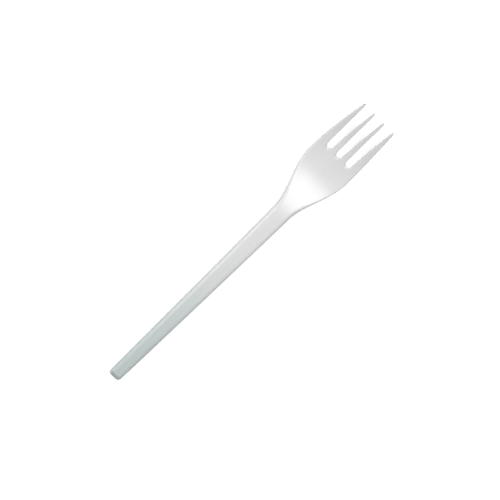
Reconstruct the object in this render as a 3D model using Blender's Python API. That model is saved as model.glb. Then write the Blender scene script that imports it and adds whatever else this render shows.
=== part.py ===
"""Disposable table fork with four tines, moulded in one piece from stiff off-white plastic.

The fork lies as it comes to rest, on the butt of its handle and on the belly of its head.
X runs along the fork from the butt to the tines, Y runs across it, and Z is up.
The origin is under the middle of the fork, on the surface that it lies on. Sizes are in metres.

The handle is a channel, open below, with a rounded upper edge and a skirt all round.
The skirt grows shallow over the shoulders, until the head is a plain dished plate.

The mesh starts as a flat sheet whose columns run along the fork and whose rows run across it.
The gaps between the tines are taken out of the sheet, and one extrusion gives it a lower skin
and the walls that join both skins. Then every point of each skin is put in its place.
"""

from math import cos, pi, radians, sin, tan

import bmesh
import bpy

# Lengths along the fork, one after the other from the butt
HANDLE_LENGTH = 0.1045
SHOULDER_LENGTH = 0.0295
PALM_LENGTH = 0.006
TINE_LENGTH = 0.025

# Widths across the fork
BUTT_WIDTH = 0.0062
NECK_WIDTH = 0.0091
HEAD_WIDTH = 0.0235
TIP_SPAN = 0.0191
SLOT_WIDTH = 0.0032
SLOT_PITCH = 0.0060
TINE_TIP_WIDTH = 0.0010

# Side profile: the arch of the handle, the dip of the neck, the belly and the rise of the tines
NECK_RISE = 0.0028
DIP_LENGTH = 0.030
BELLY_LENGTH = 0.0025
BELLY_TO_SLOTS = 0.0065
TINE_BEND_LENGTH = 0.020
TIP_RISE = 0.0070
DISH_DEPTH = 0.0005

# Thicknesses and the skirt
WALL = 0.0012
PALM_THICKNESS = 0.0017
TIP_THICKNESS = 0.0010
SKIRT_DEPTH = 0.0032
SKIRT_FADE_LENGTH = 0.019
SKIRT_DRAFT = radians(4.0)

# How much farther than its sides the butt's end leans out, per unit of height
END_LEAN = 0.21

# Roundings. A corner power below 1 squares the corners of the butt, and 1 leaves them round
HANDLE_EDGE_RADIUS = 0.0017
HEAD_EDGE_RADIUS = 0.0006
TIP_EDGE_RADIUS = 0.0004
INNER_RADIUS = 0.0004
TINE_END_ROUND = 0.0009
BUTT_BOW = 0.0003
CORNER_POWER = 0.57
RIM_CHAMFER = 0.0002
SHARP_ANGLE = radians(50.0)
SHADING_ANGLE = radians(40.0)

# How late the head's sides close in, and the slots widen, on the way to the tips; 1 is evenly
TAPER_POWER = 1.5
SLOT_POWER = 1.4

# Bands that hold a rounded edge in shape: beside a slot, above the foot, and under the head's rim
SLOT_EDGE_BAND = 0.00035
FOOT_BAND = 0.0003
HEAD_RIM_BAND = 0.0005
TIP_RIM_BAND = 0.0003
LEAST_STEP = 0.0001

# How many faces each stretch gets
HALF_SLOT_COLUMNS = 3
ARC_STEPS = 4
HANDLE_ROWS = 14
DIP_ROWS = 14
TINE_ROWS = 8

# Where the rows of the belly lie, as shares of its length
BELLY_SHARES = (0.0, 0.5)

# How far the rows before the slots bend round their ends, and the rows before the tips round theirs
SLOT_BOWS = (0.0, 0.2, 0.5, 1.0)
TIP_BOWS = (0.0, 0.35, 1.0)

# Places along the fork, measured from the butt
SHOULDER_END = HANDLE_LENGTH + SHOULDER_LENGTH
SLOT_START = SHOULDER_END + PALM_LENGTH
LENGTH = SLOT_START + TINE_LENGTH
BELLY_END = SLOT_START - BELLY_TO_SLOTS
BELLY_START = BELLY_END - BELLY_LENGTH
DIP_START = BELLY_START - DIP_LENGTH
TAPER_START = SLOT_START - PALM_LENGTH / 2
SLOT_RADIUS = SLOT_WIDTH / 2
SLOT_SIDES_START = SLOT_START + SLOT_RADIUS
TIP_SLOT_HALF = (SLOT_PITCH - TINE_TIP_WIDTH) / 2
ARC_END = pi / 2 - SKIRT_DRAFT

# Edge levels: 0 is the foot of the skirt, 1 is just above it, and the rest climb the rounded edge
CORE_LEVEL = ARC_STEPS + 2

# Columns, counted from the middle outwards
INNER_TINE_COLUMN = HALF_SLOT_COLUMNS
SIDE_SLOT_COLUMN = INNER_TINE_COLUMN + 3
OUTER_TINE_COLUMN = SIDE_SLOT_COLUMN + 2 * HALF_SLOT_COLUMNS
CORE_COLUMN = OUTER_TINE_COLUMN + 2
LAST_COLUMN = CORE_COLUMN + CORE_LEVEL


def mix(low, high, share):
    """The value that lies the given share of the way from low to high."""
    return low + (high - low) * share


def ease(share):
    """Goes from 0 to 1 with a level start and a level end."""
    share = min(max(share, 0.0), 1.0)
    return share * share * (3 - 2 * share)


def spread_share(along):
    """0 on the handle and 1 on the belly, for what changes in step with the head's spreading."""
    return ease((along - HANDLE_LENGTH) / (BELLY_START - HANDLE_LENGTH))


def skirt_share(along):
    """1 on the handle, where the skirt is full, and 0 where it has died away."""
    return 1 - ease((along - HANDLE_LENGTH) / SKIRT_FADE_LENGTH)


def tine_share(along):
    """0 where the straight sides of the slots start and 1 at the tips."""
    share = (along - SLOT_SIDES_START) / (LENGTH - SLOT_SIDES_START)
    return min(max(share, 0.0), 1.0)


def half_width(along):
    """Half the width over the foot of the skirt or the side of the head."""
    if along < HANDLE_LENGTH:
        return mix(BUTT_WIDTH, NECK_WIDTH, max(along, 0.0) / HANDLE_LENGTH) / 2
    if along < TAPER_START:
        share = ease((along - HANDLE_LENGTH) / SHOULDER_LENGTH)
        return mix(NECK_WIDTH, HEAD_WIDTH, share) / 2
    taper = (along - TAPER_START) / (LENGTH - TAPER_START)
    return mix(HEAD_WIDTH, TIP_SPAN, taper ** TAPER_POWER) / 2


def crown_height(along):
    """Height of the upper skin along the middle of the fork."""
    neck_height = SKIRT_DEPTH + NECK_RISE
    if along < DIP_START:
        return neck_height - NECK_RISE * (1 - max(along, 0.0) / DIP_START) ** 2
    if along < BELLY_END:
        return mix(neck_height, PALM_THICKNESS, ease((along - DIP_START) / DIP_LENGTH))
    slope = TIP_RISE / (LENGTH - BELLY_END - TINE_BEND_LENGTH / 2)
    past = along - BELLY_END
    bent = min(past, TINE_BEND_LENGTH)
    straight = past - bent
    return PALM_THICKNESS + slope * (bent * bent / (2 * TINE_BEND_LENGTH) + straight)


def dish_height(along, across):
    """How far the dished head stands above its middle line, out across its width."""
    flat = SLOT_PITCH / 2
    beyond = max(abs(across) - flat, 0.0) / (HEAD_WIDTH / 2 - flat)
    return DISH_DEPTH * spread_share(along) * beyond * beyond


def thickness(along):
    """Thickness of the handle's wall, of the palm and of the tines, which thin to their tips."""
    if along < SLOT_SIDES_START:
        return mix(WALL, PALM_THICKNESS, spread_share(along))
    return mix(PALM_THICKNESS, TIP_THICKNESS, tine_share(along))


def side_depth(along):
    """Height of the side, from the upper skin down to its foot."""
    return thickness(along) + (SKIRT_DEPTH - WALL) * skirt_share(along)


def edge_radius(along):
    """Radius of the rounded upper edge."""
    head = mix(HEAD_EDGE_RADIUS, TIP_EDGE_RADIUS, tine_share(along))
    return mix(head, HANDLE_EDGE_RADIUS, skirt_share(along))


def upper_edge(along, level):
    """Outward reach and drop of an edge level of the upper skin, from where the flat part ends."""
    radius = edge_radius(along)
    angle = ARC_END * (CORE_LEVEL - max(level, 2)) / ARC_STEPS
    reach = radius * sin(angle)
    drop = radius * (1 - cos(angle))
    if level < 2:
        side = side_depth(along) - drop
        if level == 1:
            side -= min(FOOT_BAND, side / 2)
        reach += side * tan(SKIRT_DRAFT)
        drop += side
    return reach, drop


def lower_edge(along, level):
    """The same for the lower skin: reach from its flat part, and drop below its own face."""
    cavity = side_depth(along) - thickness(along)
    radius = mix(INNER_RADIUS, INNER_RADIUS / 2, tine_share(along))
    climb = min(radius, cavity)
    share = (CORE_LEVEL - max(level, 2)) / ARC_STEPS
    reach = radius * mix(share, sin(ARC_END * share), skirt_share(along))
    drop = climb * (1 - cos(ARC_END * share))
    if level < 2:
        side = cavity - drop
        if level == 1:
            side -= min(FOOT_BAND, side / 2)
        reach += max(side * tan(SKIRT_DRAFT), LEAST_STEP * (2 - level))
        drop += side
    return reach, drop


def rim_width(along):
    """Width of the foot of the side, which faces down."""
    head = mix(HEAD_RIM_BAND, TIP_RIM_BAND, tine_share(along))
    return mix(head, WALL, skirt_share(along))


def core_half(along, lower):
    """Half the width of the flat part of a skin, inside its rounded edges."""
    if lower:
        return half_width(along) - rim_width(along) - lower_edge(along, 0)[0]
    return half_width(along) - upper_edge(along, 0)[0]


def end_width(lower):
    """How far from the butt's very end the flat part of a skin starts."""
    rim = rim_width(0.0) if lower else 0.0
    reach, drop = (lower_edge if lower else upper_edge)(0.0, 0)
    return rim + reach + END_LEAN * drop


def head_columns(along, lower):
    """Distances from the middle of the core columns, where the slots have their full width."""
    slot_half = mix(SLOT_RADIUS, TIP_SLOT_HALF, tine_share(along) ** SLOT_POWER)
    core = core_half(along, lower)
    inner = slot_half
    outer = SLOT_PITCH - slot_half
    last = SLOT_PITCH + slot_half
    places = []
    for column in range(HALF_SLOT_COLUMNS):
        places.append(inner * column / HALF_SLOT_COLUMNS)
    places.append(inner)
    places.append(inner + SLOT_EDGE_BAND)
    places.append(outer - SLOT_EDGE_BAND)
    for column in range(2 * HALF_SLOT_COLUMNS):
        places.append(mix(outer, last, column / (2 * HALF_SLOT_COLUMNS)))
    places.append(last)
    places.append(last + SLOT_EDGE_BAND)
    places.append(core)
    return places


def column_places(along, lower):
    """Distances of the core columns at any place along the fork."""
    if along >= SLOT_SIDES_START:
        return head_columns(along, lower)
    pattern = head_columns(SLOT_SIDES_START, lower)
    scale = core_half(along, lower) / pattern[CORE_COLUMN]
    return [place * scale for place in pattern]


def slot_angle(column):
    """Angle round a slot's end at which a column meets it, or None off the slots."""
    if column <= INNER_TINE_COLUMN:
        return pi / 2 * column / HALF_SLOT_COLUMNS
    if SIDE_SLOT_COLUMN <= column <= OUTER_TINE_COLUMN:
        return pi / 2 * ((column - SIDE_SLOT_COLUMN) / HALF_SLOT_COLUMNS - 1)
    return None


def even_steps(start, end, count):
    """Places from start to just before end, evenly spaced."""
    return [mix(start, end, step / count) for step in range(count)]


def row_list():
    """Place along the fork, slot bow and tip bow of every row after the butt's own levels."""
    rows = []
    palm_step = (SLOT_SIDES_START - BELLY_END) / (len(SLOT_BOWS) - 1)
    tip_step = TINE_END_ROUND * 2
    for along in even_steps(end_width(False), DIP_START, HANDLE_ROWS):
        rows.append((along, 0.0, 0.0))
    for along in even_steps(DIP_START, BELLY_START, DIP_ROWS):
        rows.append((along, 0.0, 0.0))
    for share in BELLY_SHARES:
        rows.append((mix(BELLY_START, BELLY_END, share), 0.0, 0.0))
    for step, bow in enumerate(SLOT_BOWS):
        rows.append((BELLY_END + palm_step * step, bow, 0.0))
    tips_start = LENGTH - tip_step * (len(TIP_BOWS) - 1)
    for along in even_steps(SLOT_SIDES_START, tips_start, TINE_ROWS)[1:]:
        rows.append((along, 0.0, 0.0))
    for step, bow in enumerate(TIP_BOWS):
        rows.append((tips_start + tip_step * step, 0.0, bow))
    return rows


ROWS = row_list()
SLOT_ROW = CORE_LEVEL + HANDLE_ROWS + DIP_ROWS + len(BELLY_SHARES) + len(SLOT_BOWS) - 1
LAST_ROW = CORE_LEVEL + len(ROWS) - 1


def butt_point(row, column, lower):
    """Plan place and drop of a point on the levels that wrap down round the butt."""
    edge = lower_edge if lower else upper_edge
    core_start = end_width(lower)
    side_level = LAST_COLUMN - column
    if side_level >= CORE_LEVEL:
        reach, drop = edge(0.0, row)
        along = core_start - reach - END_LEAN * drop
        return along, column_places(0.0, lower)[column], drop
    level = min(side_level, row)
    if level == side_level:
        step = CORE_LEVEL - row
    else:
        step = CORE_LEVEL - level + side_level - level
    turn = pi / 2 * step / (2 * (CORE_LEVEL - level))
    reach, drop = edge(0.0, level)
    along = core_start - (reach + END_LEAN * drop) * sin(turn) ** CORNER_POWER
    across = core_half(0.0, lower) + reach * cos(turn) ** CORNER_POWER
    return along, across, drop


def tip_pull(along, across, column):
    """How far the end of a tine falls back from its middle to its corners, as a share."""
    places = head_columns(along, False)
    if column <= SIDE_SLOT_COLUMN:
        low, high = places[INNER_TINE_COLUMN], places[SIDE_SLOT_COLUMN]
    else:
        low, high = places[OUTER_TINE_COLUMN], half_width(along)
    return ((2 * across - low - high) / (high - low)) ** 2


def plan_point(row, column, lower):
    """Place along and across the fork of a point, and its drop below the crown's surface."""
    if row < CORE_LEVEL:
        return butt_point(row, column, lower)
    along, slot_bow, tip_bow = ROWS[row - CORE_LEVEL]
    if row == CORE_LEVEL and lower:
        along = end_width(True)
    drop = 0.0
    if column <= CORE_COLUMN:
        across = column_places(along, lower)[column]
    else:
        edge = lower_edge if lower else upper_edge
        reach, drop = edge(along, LAST_COLUMN - column)
        across = core_half(along, lower) + reach
    angle = slot_angle(column)
    if slot_bow and angle is not None:
        middle = 0.0 if column <= INNER_TINE_COLUMN else SLOT_PITCH
        scale = core_half(along, lower) / core_half(SLOT_SIDES_START, lower)
        round_place = (middle + SLOT_RADIUS * sin(angle)) * scale
        across = mix(across, round_place, slot_bow)
        along -= SLOT_RADIUS * cos(angle) * slot_bow
    if tip_bow:
        along -= TINE_END_ROUND * tip_bow * tip_pull(along, across, column)
    return along, across, drop


def place_point(row, column, lower):
    """Position of one point of the fork."""
    along, across, drop = plan_point(row, abs(column), lower)
    height = crown_height(along) + dish_height(along, across) - drop
    if lower:
        height -= thickness(along)
    end_share = 1 - ease(along / NECK_WIDTH)
    along += BUTT_BOW * (2 * across / BUTT_WIDTH) ** 2 * end_share
    return along, across if column > 0 else -across, height


def in_slot(column):
    """Whether the face between this column and the next one out lies in a gap between tines."""
    if column < INNER_TINE_COLUMN:
        return True
    return SIDE_SLOT_COLUMN <= column < OUTER_TINE_COLUMN


def flat_sheet(mesh):
    """Lays out the sheet, numbers its points by row and column, and takes the slots out."""
    bmesh.ops.create_grid(mesh, x_segments=LAST_ROW, y_segments=2 * LAST_COLUMN, size=0.5)
    row_of = mesh.verts.layers.int.new("row")
    column_of = mesh.verts.layers.int.new("column")
    for point in mesh.verts:
        point[row_of] = round((point.co.x + 0.5) * LAST_ROW)
        point[column_of] = round(point.co.y * 2 * LAST_COLUMN)
    gaps = []
    for face in mesh.faces:
        row = min(point[row_of] for point in face.verts)
        column = min(abs(point[column_of]) for point in face.verts)
        if row >= SLOT_ROW and in_slot(column):
            gaps.append(face)
    bmesh.ops.delete(mesh, geom=gaps, context="FACES")
    return row_of, column_of


def chamfer_rims(mesh, row_of):
    """Takes the sharp edge off the foot of the skirt and the sides of the tines."""
    sharp = []
    for edge in mesh.edges:
        at_tip = all(point[row_of] == LAST_ROW for point in edge.verts)
        if edge.calc_face_angle(0.0) > SHARP_ANGLE and not at_tip:
            sharp.append(edge)
    bmesh.ops.bevel(mesh, geom=sharp, offset=RIM_CHAMFER, offset_type="OFFSET",
                    segments=1, profile=0.5, affect="EDGES", clamp_overlap=True, material=-1)


def set_down(mesh):
    """Brings the lowest point to height 0 and the middle of the length to the origin."""
    lowest = min(point.co.z for point in mesh.verts)
    first = min(point.co.x for point in mesh.verts)
    last = max(point.co.x for point in mesh.verts)
    bmesh.ops.translate(mesh, verts=mesh.verts, vec=(-(first + last) / 2, 0.0, -lowest))


def fork_mesh():
    """The whole fork as one closed mesh."""
    mesh = bmesh.new()
    row_of, column_of = flat_sheet(mesh)
    lower_points = set(mesh.verts)
    bmesh.ops.extrude_face_region(mesh, geom=mesh.faces[:])
    for point in mesh.verts:
        lower = point in lower_points
        point.co = place_point(point[row_of], point[column_of], lower)
    bmesh.ops.recalc_face_normals(mesh, faces=mesh.faces)
    chamfer_rims(mesh, row_of)
    set_down(mesh)
    data = bpy.data.meshes.new("fork")
    mesh.to_mesh(data)
    mesh.free()
    data.shade_smooth()
    data.set_sharp_from_angle(angle=SHADING_ANGLE)
    return data


def moulded_plastic():
    """Stiff filled plastic: off-white, with a soft gloss."""
    material = bpy.data.materials.new("moulded_plastic")
    material.use_nodes = True
    shader = material.node_tree.nodes["Principled BSDF"]
    shader.inputs["Base Color"].default_value = (0.80, 0.81, 0.80, 1.0)
    shader.inputs["Roughness"].default_value = 0.38
    shader.inputs["Metallic"].default_value = 0.0
    return material


def build():
    """Clears the file and builds the fork."""
    for item in list(bpy.data.objects):
        bpy.data.objects.remove(item)
    fork = bpy.data.objects.new("fork", fork_mesh())
    fork.data.materials.append(moulded_plastic())
    bpy.context.scene.collection.objects.link(fork)


build()
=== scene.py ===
# %% [markdown]
# A disposable table fork
#
# This lesson dresses one small object: a fork with four tines, moulded in one shot from stiff
# off-white plastic. There is only one piece, so everything depends on three things: an
# outline that is right to half a millimetre, edges that are as soft as a mould leaves them,
# and a finish that isn't one flat colour.
#
# All sizes are in metres. X runs along the fork from the butt of the handle to the tines,
# Y runs across it and Z is up. The fork lies on the plane Z = 0.

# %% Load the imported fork
from math import cos, pi, radians, sin, tan

import bmesh
import bpy
from mathutils import Matrix, Vector


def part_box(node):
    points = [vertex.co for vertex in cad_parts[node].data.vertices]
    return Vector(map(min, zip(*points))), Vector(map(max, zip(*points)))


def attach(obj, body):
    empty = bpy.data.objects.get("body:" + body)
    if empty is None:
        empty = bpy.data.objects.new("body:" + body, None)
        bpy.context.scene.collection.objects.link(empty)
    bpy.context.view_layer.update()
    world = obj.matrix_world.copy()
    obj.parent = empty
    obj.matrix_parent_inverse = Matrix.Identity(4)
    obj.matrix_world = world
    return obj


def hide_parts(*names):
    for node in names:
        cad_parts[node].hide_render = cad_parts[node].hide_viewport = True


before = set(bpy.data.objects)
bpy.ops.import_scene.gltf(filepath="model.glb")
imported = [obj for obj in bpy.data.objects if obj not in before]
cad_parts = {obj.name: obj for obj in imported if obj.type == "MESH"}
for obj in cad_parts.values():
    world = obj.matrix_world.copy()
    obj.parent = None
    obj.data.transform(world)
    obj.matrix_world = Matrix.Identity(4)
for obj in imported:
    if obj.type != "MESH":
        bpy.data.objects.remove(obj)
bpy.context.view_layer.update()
fork_low, fork_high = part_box("fork")
print("the packed fork measures", [round(side * 1000, 1) for side in fork_high - fork_low], "mm")

# %% [markdown]
# The sizes that drive the shape
#
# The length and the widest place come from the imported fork. The other sizes are those that a
# mould maker would put on the drawing: how long each stretch is, how wide the fork is where
# the stretches meet, how high it stands there and how thick it is.

# %% Lengths and widths
LENGTH = fork_high.x - fork_low.x
HEAD_WIDTH = fork_high.y - fork_low.y
SHOULDER_LENGTH = 0.0295
PALM_LENGTH = 0.006
TINE_LENGTH = 0.025
BUTT_WIDTH = 0.0062
NECK_WIDTH = 0.0091
TIP_SPAN = 0.0191
SLOT_WIDTH = 0.0032
SLOT_PITCH = 0.0060
TINE_TIP_WIDTH = 0.0010
SLOT_START = LENGTH - TINE_LENGTH
SHOULDER_END = SLOT_START - PALM_LENGTH
HANDLE_LENGTH = SHOULDER_END - SHOULDER_LENGTH
TAPER_START = SLOT_START - PALM_LENGTH / 2
print("the shoulders start", round(HANDLE_LENGTH * 1000, 1), "mm from the butt")

# %% Heights, thicknesses and roundings
NECK_RISE = 0.0028
DIP_LENGTH = 0.030
BELLY_LENGTH = 0.0025
BELLY_TO_SLOTS = 0.0065
TINE_BEND_LENGTH = 0.020
TIP_RISE = 0.0070
DISH_DEPTH = 0.0005
WALL = 0.0012
PALM_THICKNESS = 0.0017
TIP_THICKNESS = 0.0010
SKIRT_DEPTH = 0.0032
SKIRT_FADE_LENGTH = 0.019
SKIRT_DRAFT = radians(4.0)
END_LEAN = 0.21
CORNER_POWER = 0.57
HANDLE_EDGE_RADIUS = 0.0017
HEAD_EDGE_RADIUS = 0.0006
TIP_EDGE_RADIUS = 0.0004
INNER_RADIUS = 0.0004
TINE_END_ROUND = 0.0009
BUTT_BOW = 0.0003
BELLY_END = SLOT_START - BELLY_TO_SLOTS
BELLY_START = BELLY_END - BELLY_LENGTH
DIP_START = BELLY_START - DIP_LENGTH
SLOT_RADIUS = SLOT_WIDTH / 2
SLOT_SIDES_START = SLOT_START + SLOT_RADIUS
TIP_SLOT_HALF = (SLOT_PITCH - TINE_TIP_WIDTH) / 2
ARC_END = pi / 2 - SKIRT_DRAFT
print("the belly ends", round(BELLY_END * 1000, 1), "mm from the butt")

# %% [markdown]
# Soft changes from one stretch to the next
#
# Nothing on a moulded fork starts or stops with a corner: the neck swells into the shoulders,
# the skirt under the handle dies away, the plate thins towards the tips. Each of these is the
# same curve with a level start and a level end, so it is written once and used for all.


# %% The blending curves
def mix(low, high, share):
    """The value that lies the given share of the way from low to high."""
    return low + (high - low) * share


def ease(share):
    """Goes from 0 to 1 with a level start and a level end."""
    share = min(max(share, 0.0), 1.0)
    return share * share * (3 - 2 * share)


def spread_share(along):
    """0 on the handle and 1 on the belly."""
    return ease((along - HANDLE_LENGTH) / (BELLY_START - HANDLE_LENGTH))


def skirt_share(along):
    """1 on the handle, where the skirt is full, and 0 where it has died away."""
    return 1 - ease((along - HANDLE_LENGTH) / SKIRT_FADE_LENGTH)


def tine_share(along):
    """0 where the straight sides of the slots start and 1 at the tips."""
    share = (along - SLOT_SIDES_START) / (LENGTH - SLOT_SIDES_START)
    return min(max(share, 0.0), 1.0)


print("the skirt dies away over", round(SKIRT_FADE_LENGTH * 1000, 1), "mm")

# %% [markdown]
# Outline and side profile
#
# Seen from above, the handle widens evenly, the shoulders swing out in an S and the head's sides
# close in again on a curve that steepens to the tips. Seen from the side, the handle is a very
# shallow arch, the neck dips, the head touches down on its belly and the tines climb: first on a
# bend, then straight. Two short functions hold both views.

# %% Outline and side profile
# How late the head's sides close in on the way to the tips; 1 would be evenly
TAPER_POWER = 1.5


def half_width(along):
    """Half the width over the foot of the skirt or the side of the head."""
    if along < HANDLE_LENGTH:
        return mix(BUTT_WIDTH, NECK_WIDTH, max(along, 0.0) / HANDLE_LENGTH) / 2
    if along < TAPER_START:
        share = ease((along - HANDLE_LENGTH) / SHOULDER_LENGTH)
        return mix(NECK_WIDTH, HEAD_WIDTH, share) / 2
    taper = (along - TAPER_START) / (LENGTH - TAPER_START)
    return mix(HEAD_WIDTH, TIP_SPAN, taper ** TAPER_POWER) / 2


def crown_height(along):
    """Height of the upper skin along the middle of the fork."""
    neck_height = SKIRT_DEPTH + NECK_RISE
    if along < DIP_START:
        return neck_height - NECK_RISE * (1 - max(along, 0.0) / DIP_START) ** 2
    if along < BELLY_END:
        return mix(neck_height, PALM_THICKNESS, ease((along - DIP_START) / DIP_LENGTH))
    slope = TIP_RISE / (LENGTH - BELLY_END - TINE_BEND_LENGTH / 2)
    past = along - BELLY_END
    bent = min(past, TINE_BEND_LENGTH)
    straight = past - bent
    return PALM_THICKNESS + slope * (bent * bent / (2 * TINE_BEND_LENGTH) + straight)


def dish_height(along, across):
    """How far the dished head stands above its middle line, out across its width."""
    flat = SLOT_PITCH / 2
    beyond = max(abs(across) - flat, 0.0) / (HEAD_WIDTH / 2 - flat)
    return DISH_DEPTH * spread_share(along) * beyond * beyond


print("the tips stand", round(crown_height(LENGTH) * 1000, 1), "mm high")

# %% [markdown]
# The section
#
# Cut across the handle, the fork is a channel, open below: a flat top, a rounded edge and a
# skirt that leans out a little, so that it leaves the mould. Cut across the head, it is a plain
# plate. The same points make both. They are numbered as levels: level 0 is the foot of the
# skirt, level 1 lies just above it and holds the foot's edge crisp, and the levels from 2 upwards
# climb the rounded edge. Towards the head the skirt shrinks until its foot is the plate's rim.

# %% Thickness, skirt and rim
ARC_STEPS = 4
CORE_LEVEL = ARC_STEPS + 2
FOOT_BAND = 0.0003
HEAD_RIM_BAND = 0.0005
TIP_RIM_BAND = 0.0003
LEAST_STEP = 0.0001


def thickness(along):
    """Thickness of the handle's wall, of the palm and of the tines, which thin to their tips."""
    if along < SLOT_SIDES_START:
        return mix(WALL, PALM_THICKNESS, spread_share(along))
    return mix(PALM_THICKNESS, TIP_THICKNESS, tine_share(along))


def side_depth(along):
    """Height of the side, from the upper skin down to its foot."""
    return thickness(along) + (SKIRT_DEPTH - WALL) * skirt_share(along)


def edge_radius(along):
    """Radius of the rounded upper edge."""
    head = mix(HEAD_EDGE_RADIUS, TIP_EDGE_RADIUS, tine_share(along))
    return mix(head, HANDLE_EDGE_RADIUS, skirt_share(along))


def rim_width(along):
    """Width of the foot of the side, which faces down."""
    head = mix(HEAD_RIM_BAND, TIP_RIM_BAND, tine_share(along))
    return mix(head, WALL, skirt_share(along))


print("the side is", round(side_depth(0.0) * 1000, 1), "mm deep at the butt")


# %% The levels of both skins
def upper_edge(along, level):
    """Outward reach and drop of a level of the upper skin, from where the flat part ends."""
    radius = edge_radius(along)
    angle = ARC_END * (CORE_LEVEL - max(level, 2)) / ARC_STEPS
    reach = radius * sin(angle)
    drop = radius * (1 - cos(angle))
    if level < 2:
        side = side_depth(along) - drop
        if level == 1:
            side -= min(FOOT_BAND, side / 2)
        reach += side * tan(SKIRT_DRAFT)
        drop += side
    return reach, drop


def lower_edge(along, level):
    """The same for the lower skin, which lines the channel under the handle."""
    cavity = side_depth(along) - thickness(along)
    radius = mix(INNER_RADIUS, INNER_RADIUS / 2, tine_share(along))
    climb = min(radius, cavity)
    share = (CORE_LEVEL - max(level, 2)) / ARC_STEPS
    reach = radius * mix(share, sin(ARC_END * share), skirt_share(along))
    drop = climb * (1 - cos(ARC_END * share))
    if level < 2:
        side = cavity - drop
        if level == 1:
            side -= min(FOOT_BAND, side / 2)
        reach += max(side * tan(SKIRT_DRAFT), LEAST_STEP * (2 - level))
        drop += side
    return reach, drop


def core_half(along, lower):
    """Half the width of the flat part of a skin, inside its rounded edges."""
    if lower:
        return half_width(along) - rim_width(along) - lower_edge(along, 0)[0]
    return half_width(along) - upper_edge(along, 0)[0]


def end_width(lower):
    """How far from the butt's very end the flat part of a skin starts."""
    rim = rim_width(0.0) if lower else 0.0
    reach, drop = (lower_edge if lower else upper_edge)(0.0, 0)
    return rim + reach + END_LEAN * drop


print("levels on each edge:", CORE_LEVEL)

# %% [markdown]
# Columns: lines that run along the fork
#
# The tines settle where the lines must run. Each slot gets six columns of faces, so that its
# round end is smooth. Beside every slot the tine has a narrow column, which holds the edge in
# shape when the mesh is subdivided. Behind the slots the same lines carry on through the palm
# and squeeze together into the handle.

# %% Column places
HALF_SLOT_COLUMNS = 3
SLOT_EDGE_BAND = 0.0004
LARGEST_BAND_SHARE = 0.25
# How late the slots widen on the way to the tips; 1 would be evenly
SLOT_POWER = 1.4
INNER_TINE_COLUMN = HALF_SLOT_COLUMNS
SIDE_SLOT_COLUMN = INNER_TINE_COLUMN + 3
OUTER_TINE_COLUMN = SIDE_SLOT_COLUMN + 2 * HALF_SLOT_COLUMNS
CORE_COLUMN = OUTER_TINE_COLUMN + 2
LAST_COLUMN = CORE_COLUMN + CORE_LEVEL


def head_columns(along, lower):
    """Distances from the middle of the core columns, where the slots have straight sides."""
    inner = mix(SLOT_RADIUS, TIP_SLOT_HALF, tine_share(along) ** SLOT_POWER)
    outer = SLOT_PITCH - inner
    last = SLOT_PITCH + inner
    band = min(SLOT_EDGE_BAND, (outer - inner) * LARGEST_BAND_SHARE)
    places = []
    for column in range(HALF_SLOT_COLUMNS):
        places.append(inner * column / HALF_SLOT_COLUMNS)
    places += [inner, inner + band, outer - band]
    for column in range(2 * HALF_SLOT_COLUMNS):
        places.append(mix(outer, last, column / (2 * HALF_SLOT_COLUMNS)))
    places += [last, last + band, core_half(along, lower)]
    return places


def column_places(along, lower):
    """Distances of the core columns at any place along the fork."""
    if along >= SLOT_SIDES_START:
        return head_columns(along, lower)
    pattern = head_columns(SLOT_SIDES_START, lower)
    scale = core_half(along, lower) / pattern[CORE_COLUMN]
    return [place * scale for place in pattern]


def slot_angle(column):
    """Angle round a slot's end at which a column meets it, or None off the slots."""
    if column <= INNER_TINE_COLUMN:
        return pi / 2 * column / HALF_SLOT_COLUMNS
    if SIDE_SLOT_COLUMN <= column <= OUTER_TINE_COLUMN:
        return pi / 2 * ((column - SIDE_SLOT_COLUMN) / HALF_SLOT_COLUMNS - 1)
    return None


print("columns of faces across the fork:", 2 * LAST_COLUMN)

# %% [markdown]
# Rows: lines that run across the fork
#
# A row costs the same wherever it lies, so rows stand far apart on the straight handle and close
# together where the neck dips and round the ends of the slots. Towards the slots each row bows a
# little more than the one before it, until the last one makes their round ends. The tips do the
# same in the other direction.

# %% Row places
HANDLE_ROWS = 16
DIP_ROWS = 16
TINE_ROWS = 8
BELLY_SHARES = (0.0, 0.5)
SLOT_BOWS = (0.0, 0.2, 0.5, 1.0)
TIP_BOWS = (0.0, 0.35, 1.0)


def even_steps(start, end, count):
    """Places from start to just before end, evenly spaced."""
    return [mix(start, end, step / count) for step in range(count)]


def row_list():
    """Place along the fork, slot bow and tip bow of every row after the butt's own levels."""
    palm_step = (SLOT_SIDES_START - BELLY_END) / (len(SLOT_BOWS) - 1)
    tip_step = TINE_END_ROUND * 2
    tips_start = LENGTH - tip_step * (len(TIP_BOWS) - 1)
    plain = even_steps(end_width(False), DIP_START, HANDLE_ROWS)
    plain += even_steps(DIP_START, BELLY_START, DIP_ROWS)
    plain += [mix(BELLY_START, BELLY_END, share) for share in BELLY_SHARES]
    rows = [(along, 0.0, 0.0) for along in plain]
    for step, bow in enumerate(SLOT_BOWS):
        rows.append((BELLY_END + palm_step * step, bow, 0.0))
    for along in even_steps(SLOT_SIDES_START, tips_start, TINE_ROWS)[1:]:
        rows.append((along, 0.0, 0.0))
    for step, bow in enumerate(TIP_BOWS):
        rows.append((tips_start + tip_step * step, 0.0, bow))
    return rows


ROWS = row_list()
SLOT_ROW = CORE_LEVEL + HANDLE_ROWS + DIP_ROWS + len(BELLY_SHARES) + len(SLOT_BOWS) - 1
LAST_ROW = CORE_LEVEL + len(ROWS) - 1
print("rows of faces along the fork:", LAST_ROW)

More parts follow.
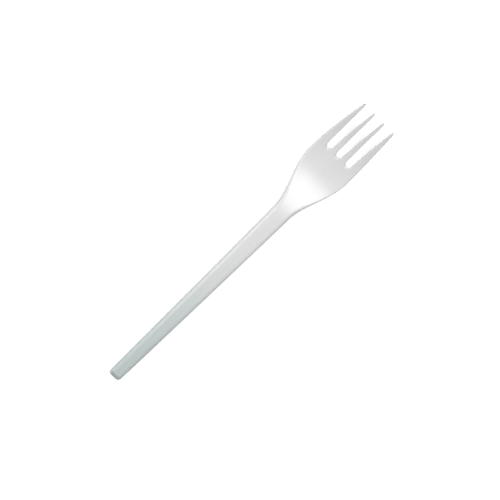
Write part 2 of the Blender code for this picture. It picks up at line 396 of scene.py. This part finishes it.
# %% [markdown]
# The closed end of the handle
#
# The skirt runs round the butt without a seam. On the grid, the rows that wrap down over the end
# meet the columns that wrap down over the side in a square block of faces. Reading that block in
# L-shaped lines turns the square into a rounded corner: each L keeps its own depth and is bent
# into a quarter circle. A power below 1 then squares that corner a little. The end leans out
# more than the sides do, by about a fifth of its height. From above it shows as a darker band.


# %% Points round the butt
def butt_point(row, column, lower):
    """Plan place and drop of a point on the levels that wrap down round the butt."""
    edge = lower_edge if lower else upper_edge
    core_start = end_width(lower)
    side_level = LAST_COLUMN - column
    if side_level >= CORE_LEVEL:
        reach, drop = edge(0.0, row)
        along = core_start - reach - END_LEAN * drop
        return along, column_places(0.0, lower)[column], drop
    level = min(side_level, row)
    if level == side_level:
        step = CORE_LEVEL - row
    else:
        step = CORE_LEVEL - level + side_level - level
    turn = pi / 2 * step / (2 * (CORE_LEVEL - level))
    reach, drop = edge(0.0, level)
    along = core_start - (reach + END_LEAN * drop) * sin(turn) ** CORNER_POWER
    across = core_half(0.0, lower) + reach * cos(turn) ** CORNER_POWER
    return along, across, drop


print("the top is flat from", round(end_width(False) * 1000, 1), "mm on")


# %% Points everywhere else
def tip_pull(along, across, column):
    """How far the end of a tine falls back from its middle to its corners, as a share."""
    places = head_columns(along, False)
    if column <= SIDE_SLOT_COLUMN:
        low, high = places[INNER_TINE_COLUMN], places[SIDE_SLOT_COLUMN]
    else:
        low, high = places[OUTER_TINE_COLUMN], half_width(along)
    return ((2 * across - low - high) / (high - low)) ** 2


def plan_point(row, column, lower):
    """Place along and across the fork of a point, and its drop below the crown's surface."""
    if row < CORE_LEVEL:
        return butt_point(row, column, lower)
    along, slot_bow, tip_bow = ROWS[row - CORE_LEVEL]
    if row == CORE_LEVEL and lower:
        along = end_width(True)
    drop = 0.0
    if column <= CORE_COLUMN:
        across = column_places(along, lower)[column]
    else:
        edge = lower_edge if lower else upper_edge
        reach, drop = edge(along, LAST_COLUMN - column)
        across = core_half(along, lower) + reach
    angle = slot_angle(column)
    if slot_bow and angle is not None:
        middle = 0.0 if column <= INNER_TINE_COLUMN else SLOT_PITCH
        scale = core_half(along, lower) / core_half(SLOT_SIDES_START, lower)
        round_place = (middle + SLOT_RADIUS * sin(angle)) * scale
        across = mix(across, round_place, slot_bow)
        along -= SLOT_RADIUS * cos(angle) * slot_bow
    if tip_bow:
        along -= TINE_END_ROUND * tip_bow * tip_pull(along, across, column)
    return along, across, drop


def place_point(row, column, lower):
    """Position of one point of the fork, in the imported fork's own place."""
    along, across, drop = plan_point(row, abs(column), lower)
    height = crown_height(along) + dish_height(along, across) - drop
    if lower:
        height -= thickness(along)
    along += BUTT_BOW * (2 * across / BUTT_WIDTH) ** 2 * (1 - ease(along / NECK_WIDTH))
    side = 1 if column > 0 else -1
    return Vector((fork_low.x + along, side * across, height))


outer_tip = place_point(LAST_ROW, LAST_COLUMN, False)
print("outer tip at", [round(value * 1000, 1) for value in outer_tip], "mm")

# %% [markdown]
# From a flat sheet to a fork
#
# Now the modelling itself, in four moves. A grid is laid out flat, with one face for every row
# and column. The faces that lie in the slots are deleted. One extrusion of the whole sheet makes
# a second skin and all the walls between them, which gives a closed body with the right holes.
# At last each point is sent to its place. The alternative, cutting the slots with a Boolean, would
# leave long thin faces round every slot, and those show as pinches once the mesh is subdivided.


# %% The sheet and its slots
def in_slot(column):
    """Whether the face between this column and the next one out lies in a gap between tines."""
    if column < INNER_TINE_COLUMN:
        return True
    return SIDE_SLOT_COLUMN <= column < OUTER_TINE_COLUMN


def flat_sheet(mesh):
    """Lays out a sheet from -1 to 1, numbers its points and takes the slots out."""
    bmesh.ops.create_grid(mesh, x_segments=LAST_ROW, y_segments=2 * LAST_COLUMN, size=1)
    row_of = mesh.verts.layers.int.new("row")
    column_of = mesh.verts.layers.int.new("column")
    for point in mesh.verts:
        point[row_of] = round((point.co.x + 1) / 2 * LAST_ROW)
        point[column_of] = round(point.co.y * LAST_COLUMN)
    gaps = []
    for face in mesh.faces:
        row = min(point[row_of] for point in face.verts)
        column = min(abs(point[column_of]) for point in face.verts)
        if row >= SLOT_ROW and in_slot(column):
            gaps.append(face)
    bmesh.ops.delete(mesh, geom=gaps, context="FACES")
    print("faces taken out for the slots:", len(gaps))
    return row_of, column_of


# %% Both skins
MERGE_DISTANCE = 0.000001


def fork_mesh():
    """The fork's control mesh, closed, with its faces pointing out."""
    mesh = bmesh.new()
    row_of, column_of = flat_sheet(mesh)
    lower_points = set(mesh.verts)
    bmesh.ops.extrude_face_region(mesh, geom=mesh.faces[:])
    for point in mesh.verts:
        point.co = place_point(point[row_of], point[column_of], point in lower_points)
    bmesh.ops.remove_doubles(mesh, verts=mesh.verts, dist=MERGE_DISTANCE)
    bmesh.ops.recalc_face_normals(mesh, faces=mesh.faces)
    open_edges = [edge for edge in mesh.edges if not edge.is_manifold]
    print("faces in the control mesh:", len(mesh.faces), "open edges:", len(open_edges))
    print("volume:", round(mesh.calc_volume() * 1e9), "cubic millimetres")
    data = bpy.data.meshes.new("moulded_fork")
    mesh.to_mesh(data)
    mesh.free()
    return data


# %% [markdown]
# Soft edges
#
# A mould leaves every edge slightly round. Subdivision does the same to this mesh: where a narrow
# column runs beside an edge the rounding stays tight, and where there is none it opens out.
# The modifier stays live, with the same level in the view and in the render.

# %% The finished piece
SMOOTHING_LEVELS = 2

fork = bpy.data.objects.new("moulded_fork", fork_mesh())
bpy.context.scene.collection.objects.link(fork)
fork.data.shade_smooth()
smoothing = fork.modifiers.new("soft edges", "SUBSURF")
smoothing.levels = SMOOTHING_LEVELS
smoothing.render_levels = SMOOTHING_LEVELS
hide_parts("fork")
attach(fork, "root")

# %% [markdown]
# The finish
#
# Filled bioplastic isn't pure white and isn't quite even. Its surface has the fine satin tooth
# of the mould and soft flow lines that follow the handle. Its colour turns cooler and darker
# towards the butt: the cool tint is the plastic's own, the darkening is painted shade that
# stands in for the light falling off along the handle. The tines are painted a little darker
# than the head, which is painted shade too. Each of these is small. Together they stop the fork
# from looking like a flat white shape.
#
# The tooth and the flow are two node groups, so that their scales are named inputs.

# %% A node group for the satin tooth
TOOTH_DETAIL = 2.0
SWELL_DETAIL = 1.0
SWELL_SHARE = 0.45


def new_group(name, inputs, outputs):
    """An empty shader group with named float inputs and outputs."""
    group = bpy.data.node_groups.new(name, "ShaderNodeTree")
    for label, value in inputs.items():
        socket = group.interface.new_socket(label, in_out="INPUT", socket_type="NodeSocketFloat")
        socket.default_value = value
    for label in outputs:
        group.interface.new_socket(label, in_out="OUTPUT", socket_type="NodeSocketFloat")
    return group


def satin_tooth():
    """Height of the fine grain that the mould's surface leaves, with a slower swell under it."""
    group = new_group("satin_tooth", {"Tooth": 2600.0, "Swell": 260.0}, ["Height"])
    nodes, links = group.nodes, group.links
    given = nodes.new("NodeGroupInput")
    place = nodes.new("ShaderNodeTexCoord")
    tooth = nodes.new("ShaderNodeTexNoise")
    tooth.inputs["Detail"].default_value = TOOTH_DETAIL
    swell = nodes.new("ShaderNodeTexNoise")
    swell.inputs["Detail"].default_value = SWELL_DETAIL
    both = nodes.new("ShaderNodeMix")
    both.data_type = "FLOAT"
    both.inputs["Factor"].default_value = SWELL_SHARE
    result = nodes.new("NodeGroupOutput")
    links.new(place.outputs["Object"], tooth.inputs["Vector"])
    links.new(place.outputs["Object"], swell.inputs["Vector"])
    links.new(given.outputs["Tooth"], tooth.inputs["Scale"])
    links.new(given.outputs["Swell"], swell.inputs["Scale"])
    links.new(tooth.outputs["Fac"], both.inputs["A"])
    links.new(swell.outputs["Fac"], both.inputs["B"])
    links.new(both.outputs["Result"], result.inputs["Height"])
    return group


# %% A node group for the flow of the melt
STREAK_DETAIL = 3.0


def melt_flow():
    """Long soft streaks along the fork, where the melt ran, from 0 to 1."""
    group = new_group("melt_flow", {"Length": 60.0, "Fineness": 700.0}, ["Streaks"])
    nodes, links = group.nodes, group.links
    given = nodes.new("NodeGroupInput")
    place = nodes.new("ShaderNodeTexCoord")
    stretch = nodes.new("ShaderNodeCombineXYZ")
    stretched = nodes.new("ShaderNodeVectorMath")
    stretched.operation = "MULTIPLY"
    streaks = nodes.new("ShaderNodeTexNoise")
    streaks.inputs["Scale"].default_value = 1.0
    streaks.inputs["Detail"].default_value = STREAK_DETAIL
    result = nodes.new("NodeGroupOutput")
    links.new(given.outputs["Length"], stretch.inputs["X"])
    links.new(given.outputs["Fineness"], stretch.inputs["Y"])
    links.new(given.outputs["Fineness"], stretch.inputs["Z"])
    links.new(place.outputs["Object"], stretched.inputs[0])
    links.new(stretch.outputs["Vector"], stretched.inputs[1])
    links.new(stretched.outputs["Vector"], streaks.inputs["Vector"])
    links.new(streaks.outputs["Fac"], result.inputs["Streaks"])
    return group


# %% The colour of the plastic
HEAD_COLOUR = (0.81, 0.815, 0.81, 1.0)
# Cooler and darker towards the butt: the cool tint is the plastic's own, the darkening is painted
# shade for the light falling off along the handle
BUTT_TINT_AND_SHADE = (0.60, 0.68, 0.668, 1.0)
TINT_AND_SHADE_END = fork_low.x + 0.100
STREAK_DEPTH = 0.03
# Painted shade: the colour darkens from the palm out to the tines
TINE_SHADE_START = fork_low.x + 0.126
TINE_SHADE_END = fork_low.x + 0.150
TINE_SHADE_TONE = 0.90


def map_range(nodes, to_low, to_high, from_low=0.0, from_high=1.0):
    """A node that turns a value between two limits into one between two others."""
    node = nodes.new("ShaderNodeMapRange")
    node.inputs["From Min"].default_value = from_low
    node.inputs["From Max"].default_value = from_high
    node.inputs["To Min"].default_value = to_low
    node.inputs["To Max"].default_value = to_high
    return node


def plastic_colour(nodes, links, streaks):
    """The colour: a cool tint and painted shade towards the butt, painted shade on the tines,
    faintly streaked.
    """
    place = nodes.new("ShaderNodeTexCoord")
    split = nodes.new("ShaderNodeSeparateXYZ")
    # Share of the butt's colour: its own cool tint together with painted shade
    tint_and_shade = map_range(nodes, 0.0, 1.0, fork_low.x, TINT_AND_SHADE_END)
    tint_and_shade.interpolation_type = "SMOOTHERSTEP"
    colour = nodes.new("ShaderNodeMix")
    colour.data_type = "RGBA"
    colour.inputs["A"].default_value = BUTT_TINT_AND_SHADE
    colour.inputs["B"].default_value = HEAD_COLOUR
    tone = map_range(nodes, 1.0 - STREAK_DEPTH, 1.0 + STREAK_DEPTH)
    # Painted shade on the tines: the colour is scaled down towards the tips
    thin = map_range(nodes, 1.0, TINE_SHADE_TONE, TINE_SHADE_START, TINE_SHADE_END)
    level = nodes.new("ShaderNodeMath")
    level.operation = "MULTIPLY"
    toned = nodes.new("ShaderNodeVectorMath")
    toned.operation = "SCALE"
    links.new(place.outputs["Object"], split.inputs["Vector"])
    links.new(split.outputs["X"], tint_and_shade.inputs["Value"])
    links.new(split.outputs["X"], thin.inputs["Value"])
    links.new(tint_and_shade.outputs["Result"], colour.inputs["Factor"])
    links.new(streaks, tone.inputs["Value"])
    links.new(tone.outputs["Result"], level.inputs[0])
    links.new(thin.outputs["Result"], level.inputs[1])
    links.new(colour.outputs["Result"], toned.inputs["Vector"])
    links.new(level.outputs["Value"], toned.inputs["Scale"])
    return toned.outputs["Vector"]


print("the cool cast is gone", round((TINT_AND_SHADE_END - fork_low.x) * 1000), "mm from the butt")


# %% The moulded plastic
LEAST_ROUGHNESS = 0.26
MOST_ROUGHNESS = 0.32
TOOTH_DEPTH = 0.00001
TOOTH_STRENGTH = 0.12


def moulded_plastic():
    """Off-white plastic with a soft gloss and the fine tooth of the mould."""
    material = bpy.data.materials.new("satin_plastic")
    material.use_nodes = True
    nodes, links = material.node_tree.nodes, material.node_tree.links
    shader = nodes["Principled BSDF"]
    flow = nodes.new("ShaderNodeGroup")
    flow.node_tree = melt_flow()
    streaks = flow.outputs["Streaks"]
    gloss = map_range(nodes, LEAST_ROUGHNESS, MOST_ROUGHNESS)
    grain = nodes.new("ShaderNodeGroup")
    grain.node_tree = satin_tooth()
    bump = nodes.new("ShaderNodeBump")
    bump.inputs["Strength"].default_value = TOOTH_STRENGTH
    bump.inputs["Distance"].default_value = TOOTH_DEPTH
    links.new(plastic_colour(nodes, links, streaks), shader.inputs["Base Color"])
    links.new(streaks, gloss.inputs["Value"])
    links.new(gloss.outputs["Result"], shader.inputs["Roughness"])
    links.new(grain.outputs["Height"], bump.inputs["Height"])
    links.new(bump.outputs["Normal"], shader.inputs["Normal"])
    return material


fork.data.materials.append(moulded_plastic())
print("finish:", fork.data.materials[0].name)

# %% [markdown]
# A pale table
#
# The fork lies on a plain matt sheet. It is a real surface that takes the fork's shadow, and its
# own colour is a grey that throws little light up at the fork. What the camera sees of it, and
# what the gloss mirrors, is lifted to white by a glow of the sheet's own. No other ray sees that
# glow, so it doesn't light the fork.

# %% The floor
FLOOR_SIZE = 3.0
FLOOR_GREY = 0.3
FLOOR_ROUGHNESS = 0.9
FLOOR_SHINE = 0.1
FLOOR_LIFT = 0.85


def paper_white():
    """A matt sheet whose own glow, which makes it white, only camera and mirror rays see."""
    material = bpy.data.materials.new("paper_white")
    material.use_nodes = True
    nodes, links = material.node_tree.nodes, material.node_tree.links
    shader = nodes["Principled BSDF"]
    shader.inputs["Base Color"].default_value = (FLOOR_GREY, FLOOR_GREY, FLOOR_GREY, 1.0)
    shader.inputs["Roughness"].default_value = FLOOR_ROUGHNESS
    shader.inputs["Specular IOR Level"].default_value = FLOOR_SHINE
    ray = nodes.new("ShaderNodeLightPath")
    seen = nodes.new("ShaderNodeMath")
    seen.operation = "MAXIMUM"
    lift = nodes.new("ShaderNodeMath")
    lift.operation = "MULTIPLY"
    lift.inputs[1].default_value = FLOOR_LIFT
    glow = nodes.new("ShaderNodeEmission")
    total = nodes.new("ShaderNodeAddShader")
    links.new(ray.outputs["Is Camera Ray"], seen.inputs[0])
    links.new(ray.outputs["Is Glossy Ray"], seen.inputs[1])
    links.new(seen.outputs["Value"], lift.inputs[0])
    links.new(lift.outputs["Value"], glow.inputs["Strength"])
    links.new(shader.outputs["BSDF"], total.inputs[0])
    links.new(glow.outputs["Emission"], total.inputs[1])
    links.new(total.outputs["Shader"], nodes["Material Output"].inputs["Surface"])
    return material


floor_mesh = bmesh.new()
bmesh.ops.create_grid(floor_mesh, x_segments=1, y_segments=1, size=FLOOR_SIZE / 2)
floor_data = bpy.data.meshes.new("floor")
floor_mesh.to_mesh(floor_data)
floor_mesh.free()
floor = bpy.data.objects.new("floor", floor_data)
bpy.context.scene.collection.objects.link(floor)
floor.data.materials.append(paper_white())
print("the sheet is", FLOOR_SIZE, "m wide")

# %% [markdown]
# The camera
#
# The camera looks almost straight down, tipped about eight degrees towards the fork's +Y side,
# with the fork running up to the right across the picture. A long lens keeps the tips from looking
# larger than the butt. The picture is square, 500 pixels a side.

# %% Where the camera stands
PICTURE_SIDE = 500
FORK_PIXELS = 371.4
# Where the fork's middle lies, in pixels from the middle of the picture
MIDDLE_RIGHT = -4.49
MIDDLE_UP = 2.12
FORK_TURN = radians(44.465)
CAMERA_TIP = radians(8.3)
LENS = 100.0
SENSOR = 36.0

pixel = LENGTH / FORK_PIXELS
view_width = PICTURE_SIDE * pixel
distance = view_width * LENS / SENSOR
backward = Vector((0.0, sin(CAMERA_TIP), cos(CAMERA_TIP)))
across_view = Vector((0.0, cos(CAMERA_TIP), -sin(CAMERA_TIP)))
right = Vector((1.0, 0.0, 0.0)) * cos(FORK_TURN) - across_view * sin(FORK_TURN)
up = Vector((1.0, 0.0, 0.0)) * sin(FORK_TURN) + across_view * cos(FORK_TURN)
aim = Vector((0.0, 0.0, SKIRT_DEPTH)) - right * MIDDLE_RIGHT * pixel - up * MIDDLE_UP * pixel
print("camera distance:", round(distance, 3), "m")

# %% The camera
CLIP_START = 0.01

camera_data = bpy.data.cameras.new("camera")
camera_data.lens = LENS
camera_data.sensor_width = SENSOR
camera_data.clip_start = CLIP_START
camera = bpy.data.objects.new("camera", camera_data)
turned = Matrix((right, up, backward)).transposed().to_4x4()
camera.matrix_world = Matrix.Translation(aim + backward * distance) @ turned
bpy.context.scene.collection.objects.link(camera)
bpy.context.scene.camera = camera
print("camera at", [round(value, 3) for value in camera.matrix_world.translation])

# %% [markdown]
# The light
#
# Each of the three soft lamps has one job. The large one hangs a metre away, beyond the head end.
# It is mirrored in the slope of the neck, which makes the broad highlight over the shoulders. A
# long one beside the fork, on the +Y side and at about forty degrees, draws the light stripe
# along the rounded edge of the handle. A weak one, low on the other side and nearer the butt,
# keeps the far edge from going dark.


# %% The lamps
def soft_lamp(name, place, target, length, width, power):
    """A rectangular area lamp that faces the target, with its length level."""
    data = bpy.data.lights.new(name, "AREA")
    data.shape = "RECTANGLE"
    data.size = length
    data.size_y = width
    data.energy = power
    lamp = bpy.data.objects.new(name, data)
    lamp.location = place
    lamp.rotation_euler = (Vector(place) - Vector(target)).to_track_quat("Z", "Y").to_euler()
    bpy.context.scene.collection.objects.link(lamp)
    return lamp


head_lamp = soft_lamp(
    "head_lamp",
    place=(0.533, -0.10, 0.863),
    target=(0.033, 0.0, 0.003),
    length=0.34,
    width=0.34,
    power=4.4,
)
side_lamp = soft_lamp(
    "side_lamp",
    place=(0.0, 0.378, 0.328),
    target=(0.0, 0.0, 0.0),
    length=0.40,
    width=0.08,
    power=1.5,
)
fill_lamp = soft_lamp(
    "fill_lamp",
    place=(-0.08, -0.458, 0.199),
    target=(-0.05, 0.0, 0.0),
    length=0.24,
    width=0.08,
    power=0.35,
)
print("watts:", [round(lamp.data.energy, 2) for lamp in (head_lamp, side_lamp, fill_lamp)])

# %% [markdown]
# The surroundings
#
# A fork on a real table also gets light from the whole room. The world stands in for the room
# with a low even grey. A white world would be simpler, but it would wash out the shading that
# shows the fork's form. So only the camera sees the world as pale as the sheet, which gives a
# view from low down a pale backdrop too.

# %% The world
WORLD_LEVEL = 0.15
BACKDROP_LEVEL = 0.92

world = bpy.data.worlds.new("studio")
world.use_nodes = True
world_nodes, world_links = world.node_tree.nodes, world.node_tree.links
world_nodes["Background"].inputs["Color"].default_value = (1.0, 1.0, 1.0, 1.0)
world_ray = world_nodes.new("ShaderNodeLightPath")
world_level = map_range(world_nodes, WORLD_LEVEL, BACKDROP_LEVEL)
world_links.new(world_ray.outputs["Is Camera Ray"], world_level.inputs["Value"])
world_links.new(world_level.outputs["Result"], world_nodes["Background"].inputs["Strength"])
bpy.context.scene.world = world
bpy.context.scene.view_settings.view_transform = "Standard"
print("the world lights the fork at", WORLD_LEVEL)
